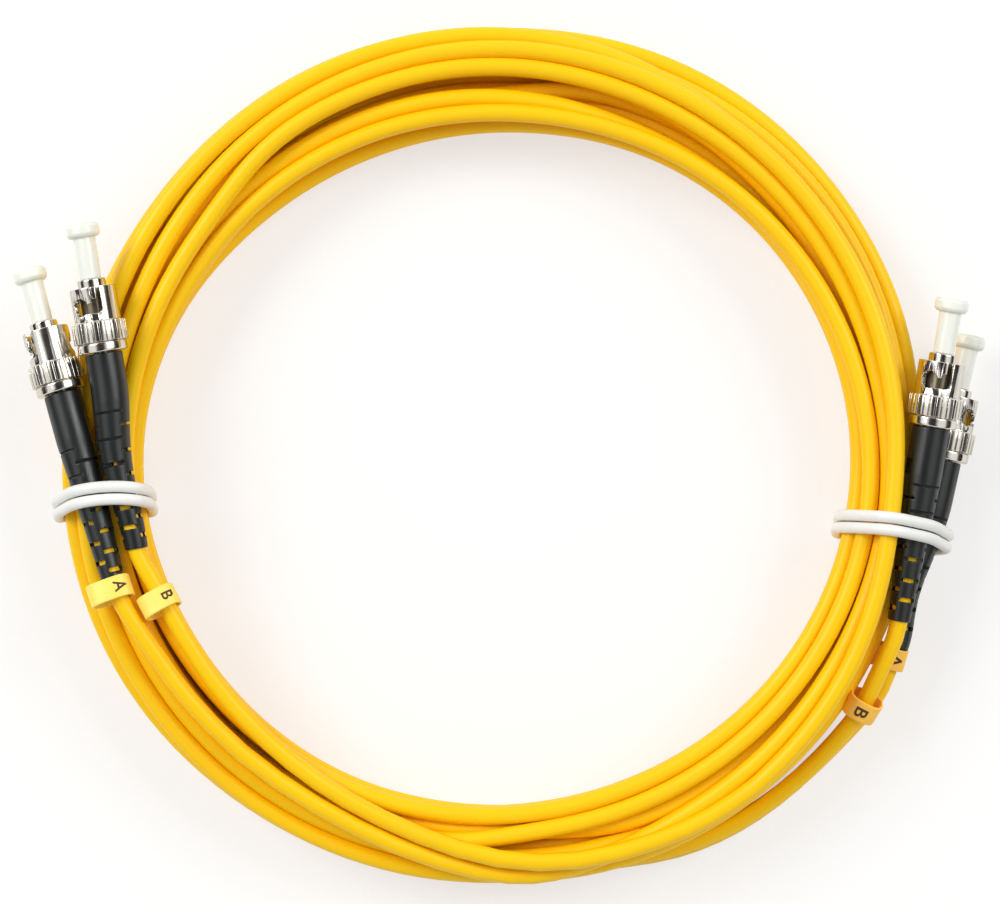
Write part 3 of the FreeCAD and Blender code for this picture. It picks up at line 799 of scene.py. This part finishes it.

# Spring: a short coil of steel wire round the stem, between the washer and the body's flange. It presses the
# nut back.
spring_rear, flange_rear, nut_travel = 1.4, 5.25, 1.6
spring_wire_radius, spring_play = 0.25, 0.1
helix, given, made = node_group(
    "spring_helix", "GeometryNodeTree",
    {"Turns": "Float", "Coil Radius": "Float", "Rise": "Float", "Wire Radius": "Float", "Finish": "Material"},
    {"Geometry": "Geometry"})
wound = added(helix, "GeometryNodeCurveSpiral", {"Resolution": 40})
section = added(helix, "GeometryNodeCurvePrimitiveCircle", {"Resolution": 14})
swept = added(helix, "GeometryNodeCurveToMesh", {"Fill Caps": True})
finished = added(helix, "GeometryNodeSetMaterial")
linked(
    helix, (given, "Turns", wound, "Rotations"), (given, "Rise", wound, "Height"),
    (given, "Coil Radius", wound, "Start Radius"), (given, "Coil Radius", wound, "End Radius"),
    (given, "Wire Radius", section, "Radius"), (wound, "Curve", swept, "Curve"),
    (section, "Curve", swept, "Profile Curve"), (swept, "Mesh", finished, "Geometry"),
    (given, "Finish", finished, "Material"), (finished, "Geometry", made, "Geometry"))
spring_shape = grown("spring", bpy.data.meshes.new("spring"), helix, {
    "Turns": 2.5, "Coil Radius": 2.35, "Wire Radius": spring_wire_radius, "Finish": spring_steel,
    "Rise": flange_rear - spring_rear - 2 * spring_wire_radius - spring_play})
spring_shape.transform(Matrix.Translation((0, 0, spring_rear + spring_wire_radius + spring_play / 2)))
for end in ends:
    spring = fitted(end, "spring", spring_shape, 0.0, spring_steel, "cord", "steel")
    tuple(connector_place(end, 0.0) @ Vector((0, 0, flange_rear)))
    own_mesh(spring)

# Dust cap: one soft moulding of milky polyethylene, a thin tube pushed over the ferrule with a round head
# to pull it off by.
milky = toned_material(
    "milky_polyethylene", srgb(246, 247, 239), srgb(229, 232, 220), smooth=0.25, rough=0.4,
    cloud_size=1.2, grain_size=0.4, relief=0.03, squeeze=(1.0, 0.12, 1.0),
    shading={"Subsurface Weight": 0.4, "Subsurface Radius": (1.0, 1.0, 0.9), "Subsurface Scale": 0.0005})
cap_shape = turned_mesh("dust_cap", [
    (0, 18.6, 0), (1.35, 18.6, 0), (1.35, 12.25, 0.1), (1.75, 12.25, 0.15), (1.85, 19.2, 0.2),
    (2.35, 19.2, 0.2), (2.8, 19.7, 0.25), (2.8, 21.0, 0.3), (2.45, 21.45, 0.2), (0, 21.45, 0),
], 72)
for end in ends:
    fitted(end, "dust_cap", cap_shape, 0.0, milky, end + "_cap", "cap")

# Strain-relief boot: a tapered sleeve moulded in soft black plastic and pushed over the crimp. Pairs of
# slots, each pair a quarter turn from the last, let it bend; they widen towards the tip, where the cable
# shows through. A shallow pocket is moulded in one side of the plain front.
boot_rolls = {"left_a": -48.0, "left_b": -8.0, "right_a": 30.0, "right_b": 15.0}
boot_front, boot_length, boot_plain_length = -0.15, 32.8, 8.0
bore_radius, crimp_room_radius, crimp_room_rear = 1.6, 2.25, -7.8
slot_stations, first_slot, last_slot, slot_crowding = 12, 9.8, 30.6, 0.2
slot_widths, slot_half_lengths, slot_floors = (0.4, 0.78), (2.4, 1.35), (1.8, 1.05)
pocket_middle, pocket_size = (0, -3.5, boot_front - 6.9), (2.4, 2.0, 2.5)
blades = bmesh.new()
for index in range(slot_stations):
    share = index / (slot_stations - 1)
    behind = first_slot + (last_slot - first_slot) * share * (1 + slot_crowding * (1 - share))
    half_width, half_length, slot_floor = (
        front + (rear - front) * share for front, rear in (slot_widths, slot_half_lengths, slot_floors))
    half_width *= 0.5
    outline = arc((half_length - half_width, 0), half_width, -90, 90, 6)
    outline += arc((half_width - half_length, 0), half_width, 90, 270, 6)
    for side in (0, 180):
        turn = Matrix.Rotation(math.radians(side + 90 * (index % 2)), 3, "Z")
        prism(blades, *(
            [turn @ Vector((depth, across, boot_front - behind + along)) for across, along in outline]
            for depth in (slot_floor, boot_radius + 1.0)))
pocket_place = Matrix.Translation(pocket_middle) @ Matrix.Diagonal((*pocket_size, 1))
bmesh.ops.create_cube(blades, size=1.0, matrix=pocket_place)
bmesh.ops.recalc_face_normals(blades, faces=blades.faces)
boot_cutter = mesh_of(blades, "boot_slots")
boot_outline = [(crimp_room_radius, boot_front, 0.1), (boot_radius, boot_front, 0.3)]
boot_outline += [(boot_radius, boot_front - behind / 3, 0) for behind in range(4, 24)]
taper_steps = 84
for step in range(taper_steps):
    share = step / taper_steps
    boot_outline.append((boot_radius + (boot_tip_radius - boot_radius) * share,
                         boot_front - boot_plain_length - (boot_length - boot_plain_length) * share, 0))
boot_outline += [(boot_tip_radius, boot_front - boot_length, 0.2),
                 (bore_radius, boot_front - boot_length, 0.1),
                 (bore_radius, crimp_room_rear, 0), (crimp_room_radius, crimp_room_rear, 0)]
boot_shape = carved(turned_mesh("boot", boot_outline, 120), boot_cutter, 0.04)
black = toned_material(
    "black_boot", srgb(30, 34, 32), srgb(19, 22, 21), smooth=0.28, rough=0.42,
    cloud_size=2.0, grain_size=0.16, relief=0.015, squeeze=(1.0, 0.15, 1.0))
for end in ends:
    bent_shape = boot_shape.copy()
    bent_shape.transform(Matrix.Rotation(math.radians(boot_rolls[end]), 4, "Z"))
    for vertex in bent_shape.vertices:
        vertex.co.y += boot_bend(end, -vertex.co.z)
    fitted(end, "boot", bent_shape, 0.0, black, "cord", "boot")

# Marker ring: a flat loop of soft yellow plastic, threaded on each cable before the connector was fitted,
# with the channel's letter printed across its face.
marker_length, marker_wall = 3.7, 0.45
marker_half_width, marker_half_height, squareness = 3.5, 2.45, 2.7
boot_end = 32.95
marker_behind = {"left_a": 1.0, "left_b": 9.6, "right_a": 1.6, "right_b": 16.0}
marker_sideways = {"left_a": -1.0, "left_b": -0.8, "right_a": -0.9, "right_b": 0.0}
marker_lean = {"left_a": -9.0, "left_b": -13.0, "right_a": 8.0, "right_b": 8.0}
marker_squeeze = {"left_a": 1.06, "left_b": 0.94, "right_a": 0.94, "right_b": 0.85}
letter_height = {"left_a": 1.9, "left_b": 1.9, "right_a": 2.4, "right_b": 2.6}
letter_across = {"left_a": 2.0, "left_b": 2.1, "right_a": 1.4, "right_b": 0.0}
letter_boldness, ink_height = 0.018, 0.02


def marker_face(across):
    """Height of the ring's outside over its middle, at a place across it."""
    return marker_half_height * (1 - abs(across / marker_half_width) ** squareness) ** (1 / squareness)


work = bmesh.new()
rows = []
ring_steps = 72
wall_outline = eased([(0, -marker_length / 2, 0.2), (0, marker_length / 2, 0.2),
                      (marker_wall, marker_length / 2, 0.08), (marker_wall, -marker_length / 2, 0.08)])
for step in range(ring_steps):
    turn = 2 * math.pi * step / ring_steps
    side, rise = math.sin(turn), math.cos(turn)
    size = (abs(side) ** squareness + abs(rise) ** squareness) ** (-1 / squareness)
    spot = Vector((rise * size * marker_half_height, side * size * marker_half_width))
    lean = Vector((
        math.copysign(abs(rise * size) ** (squareness - 1), rise) / marker_half_height,
        math.copysign(abs(side * size) ** (squareness - 1), side) / marker_half_width)).normalized()
    rows.append([work.verts.new((*(spot - lean * inset), along)) for inset, along in wall_outline])
for row, following in zip(rows, rows[1:] + rows[:1]):
    for corner in range(len(row)):
        work.faces.new((row[corner - 1], row[corner], following[corner], following[corner - 1]))
bmesh.ops.recalc_face_normals(work, faces=work.faces)
marker_shape = mesh_of(work, "marker_ring")
# The right-hand rings take a deeper amber copy of the same yellow plastic: painted shade, for the shade they
# lie in low beside the coil.
marker_plastic = {
    side: toned_material(
        name, pale, deep, smooth=0.38, rough=0.5, cloud_size=3.0, grain_size=0.2, relief=0.015)
    for side, name, pale, deep in (
        ("left", "marker_yellow", srgb(255, 234, 112), srgb(255, 220, 88)),
        ("right", "marker_yellow_shaded", srgb(255, 206, 84), srgb(252, 188, 62)))
}
marker_ink = toned_material(
    "marker_ink", srgb(84, 46, 18), srgb(60, 30, 12), smooth=0.5, rough=0.62,
    cloud_size=0.8, grain_size=0.1, relief=0.005)
for letter in "ab":
    line = cables[letter].data.copy()
    line.bevel_depth = 0.0
    line.splines[0].resolution_u = 10
    line_object = bpy.data.objects.new("cable_line", line)
    line_mesh = bpy.data.meshes.new_from_object(line_object)
    path = [vertex.co.copy() for vertex in line_mesh.vertices]
    bpy.data.objects.remove(line_object)
    for end, run in (("right_" + letter, path), ("left_" + letter, path[::-1])):
        left_over = (boot_end - crimp_behind + marker_behind[end]) / 1000
        index = 0
        while left_over > (run[index + 1] - run[index]).length:
            left_over -= (run[index + 1] - run[index]).length
            index += 1
        toward = (run[index] - run[index + 1]).normalized()
        place = upright(toward, run[index] - toward * left_over)
        place = place @ Matrix.Scale(0.001, 4) @ Matrix.Translation((0, marker_sideways[end], 0))
        place = place @ Matrix.Rotation(math.radians(marker_lean[end]), 4, "Y")
        squeezed = place @ Matrix.Scale(marker_squeeze[end], 4, (0, 1, 0))

        ring_mesh = marker_shape.copy()
        ring_mesh.transform(squeezed)
        ring_mesh.materials.append(marker_plastic[end.split("_")[0]])
        for polygon in ring_mesh.polygons:
            polygon.use_smooth = True
        marker = placed(end + "_marker_detail", ring_mesh, "cord", "marker", end + "_marker_ring")

        text = bpy.data.curves.new(end + "_letter", "FONT")
        text.body = letter.upper()
        text.align_x = "CENTER"
        text.align_y = "CENTER"
        text.offset = letter_boldness
        text_object = bpy.data.objects.new(end + "_letter", text)
        letter_mesh = bpy.data.meshes.new_from_object(text_object)
        bpy.data.objects.remove(text_object)
        work = bmesh.new()
        work.from_mesh(letter_mesh)
        bmesh.ops.triangulate(work, faces=work.faces)
        bmesh.ops.subdivide_edges(work, edges=work.edges, cuts=5, use_grid_fill=True)
        heights = [vertex.co.y for vertex in work.verts]
        middle = (max(heights) + min(heights)) / 2
        size = letter_height[end] / (max(heights) - min(heights))
        for vertex in work.verts:
            across = (vertex.co.y - middle) * size + letter_across[end]
            vertex.co = (marker_face(across) + ink_height, across, -vertex.co.x * size)
        work.to_mesh(letter_mesh)
        work.free()
        letter_mesh.transform(squeezed)
        letter_mesh.materials.clear()
        letter_mesh.materials.append(marker_ink)
        connector_pieces[end] += [marker, placed(end + "_letter", letter_mesh, "cord", "marker")]

# Ties: two lengths of wire with a thick white plastic coat, each wound twice round the turns and the boots.
# Both ends of a wire lie underneath the turns, out of sight.
tie_wire_radius, tie_pitch, tie_slack, per_wrap = 0.95, 2.1, 0.1, 120
tie_tilt = {"left_tie": -0.085, "right_tie": 0.13}
tie_skew = {"left_tie": 0.03, "right_tie": 0.085}
tie_bow = {"left_tie": 1.1, "right_tie": 0.0}
tie_pivot = {"left_tie": 57.0, "right_tie": 65.5}
tilt_height, bow_level, table_gap = 10.0, 0.3, 0.05
coated_wire, given, made = node_group(
    "coated_wire", "GeometryNodeTree", {"Path": "Geometry", "Wire Radius": "Float", "Coat": "Material"},
    {"Geometry": "Geometry"})
run = added(coated_wire, "GeometryNodeMeshToCurve")
section = added(coated_wire, "GeometryNodeCurvePrimitiveCircle", {"Resolution": 20})
swept = added(coated_wire, "GeometryNodeCurveToMesh", {"Fill Caps": True})
coated = added(coated_wire, "GeometryNodeSetMaterial")
linked(
    coated_wire, (given, "Path", run, "Mesh"), (given, "Wire Radius", section, "Radius"),
    (run, "Curve", swept, "Curve"), (section, "Curve", swept, "Profile Curve"),
    (swept, "Mesh", coated, "Geometry"), (given, "Coat", coated, "Material"),
    (coated, "Geometry", made, "Geometry"))
white_coat = toned_material(
    "white_wire_coat", srgb(240, 241, 238), srgb(230, 231, 227), smooth=0.38, rough=0.5,
    cloud_size=6.0, grain_size=0.25, relief=0.02)
for tie_name, degrees in tie_degrees.items():
    # What the wire is pulled round: every strand and both boots where they cross the tie's plane.
    tie_bearing = math.radians(degrees)
    out = np.array((math.cos(tie_bearing), math.sin(tie_bearing)))
    side = np.array((-out[1], out[0]))
    circles = []
    for cable in (0, 1):
        for turn in range(whole_turns + 1):
            step = (turn + 1 - degrees / 360) * stations
            low = math.floor(step)
            if low + 1 < count and present[cable, low] and present[cable, low + 1]:
                reach, height = lay[cable, low] + (lay[cable, low + 1] - lay[cable, low]) * (step - low)
                circles.append((reach, height, jacket_d / 2))
    for end in ends:
        forward = ((ring_middle - rears[end][:2]) @ side) / (axes[end][:2] @ side)
        crossing = rears[end] + axes[end] * forward
        reach = (crossing[:2] - ring_middle) @ out
        if reach > 0 and boot_rear < forward < 0:
            radius = np.interp(forward, (boot_rear, boot_plain), (boot_tip_radius, boot_radius))
            circles.append((reach, crossing[2], radius))
    circles = np.array(circles)
    pulled = []
    for step in range(360):
        turn = 2 * math.pi * step / 360 - math.pi / 2
        facing = np.array((math.cos(turn), math.sin(turn)))
        outermost = circles[np.argmax(circles[:, :2] @ facing + circles[:, 2])]
        pulled.append(outermost[:2] + facing * (outermost[2] + tie_wire_radius + tie_slack))
    pulled = np.array(pulled + pulled[:1])
    travelled = np.append(0, np.cumsum(np.hypot(*np.diff(pulled, axis=0).T)))
    even = np.linspace(0, travelled[-1], per_wrap, endpoint=False)
    loop = np.stack([np.interp(even, travelled, pulled[:, axis]) for axis in (0, 1)], 1)
    for repeat in range(12):
        loop = 0.5 * loop + 0.25 * (np.roll(loop, 1, 0) + np.roll(loop, -1, 0))
    loop_middle = (loop[:, 0].max() + loop[:, 0].min()) / 2
    loop_half = (loop[:, 0].max() - loop[:, 0].min()) / 2
    wire_line = []
    for step in range(2 * per_wrap + 1):
        reach, height = loop[step % per_wrap]
        height = max(height, tie_wire_radius + table_gap)
        shift = tie_pitch * (step / per_wrap - 1) + tie_tilt[tie_name] * (height - tilt_height)
        shift += tie_skew[tie_name] * (reach - tie_pivot[tie_name])
        shift += tie_bow[tie_name] * (((reach - loop_middle) / loop_half) ** 2 - bow_level)
        flat = ring_middle + out * reach + side * shift
        wire_line.append((flat[0] / 1000, flat[1] / 1000, height / 1000))
    line_mesh = bpy.data.meshes.new(tie_name + "_line")
    line_mesh.from_pydata(wire_line, [(index, index + 1) for index in range(len(wire_line) - 1)], [])
    tie_mesh = grown(tie_name + "_wire", line_mesh, coated_wire, {
        "Wire Radius": tie_wire_radius / 1000, "Coat": white_coat})
    for polygon in tie_mesh.polygons:
        polygon.use_smooth = True
    placed(tie_name + "_wire", tie_mesh, "cord", "tie", tie_name)

# The two cables as free cords: each leaves its right-hand connector and carries its left-hand one.
for letter in "ab":
    right_end, left_end = ("right_" + letter, "left_" + letter)
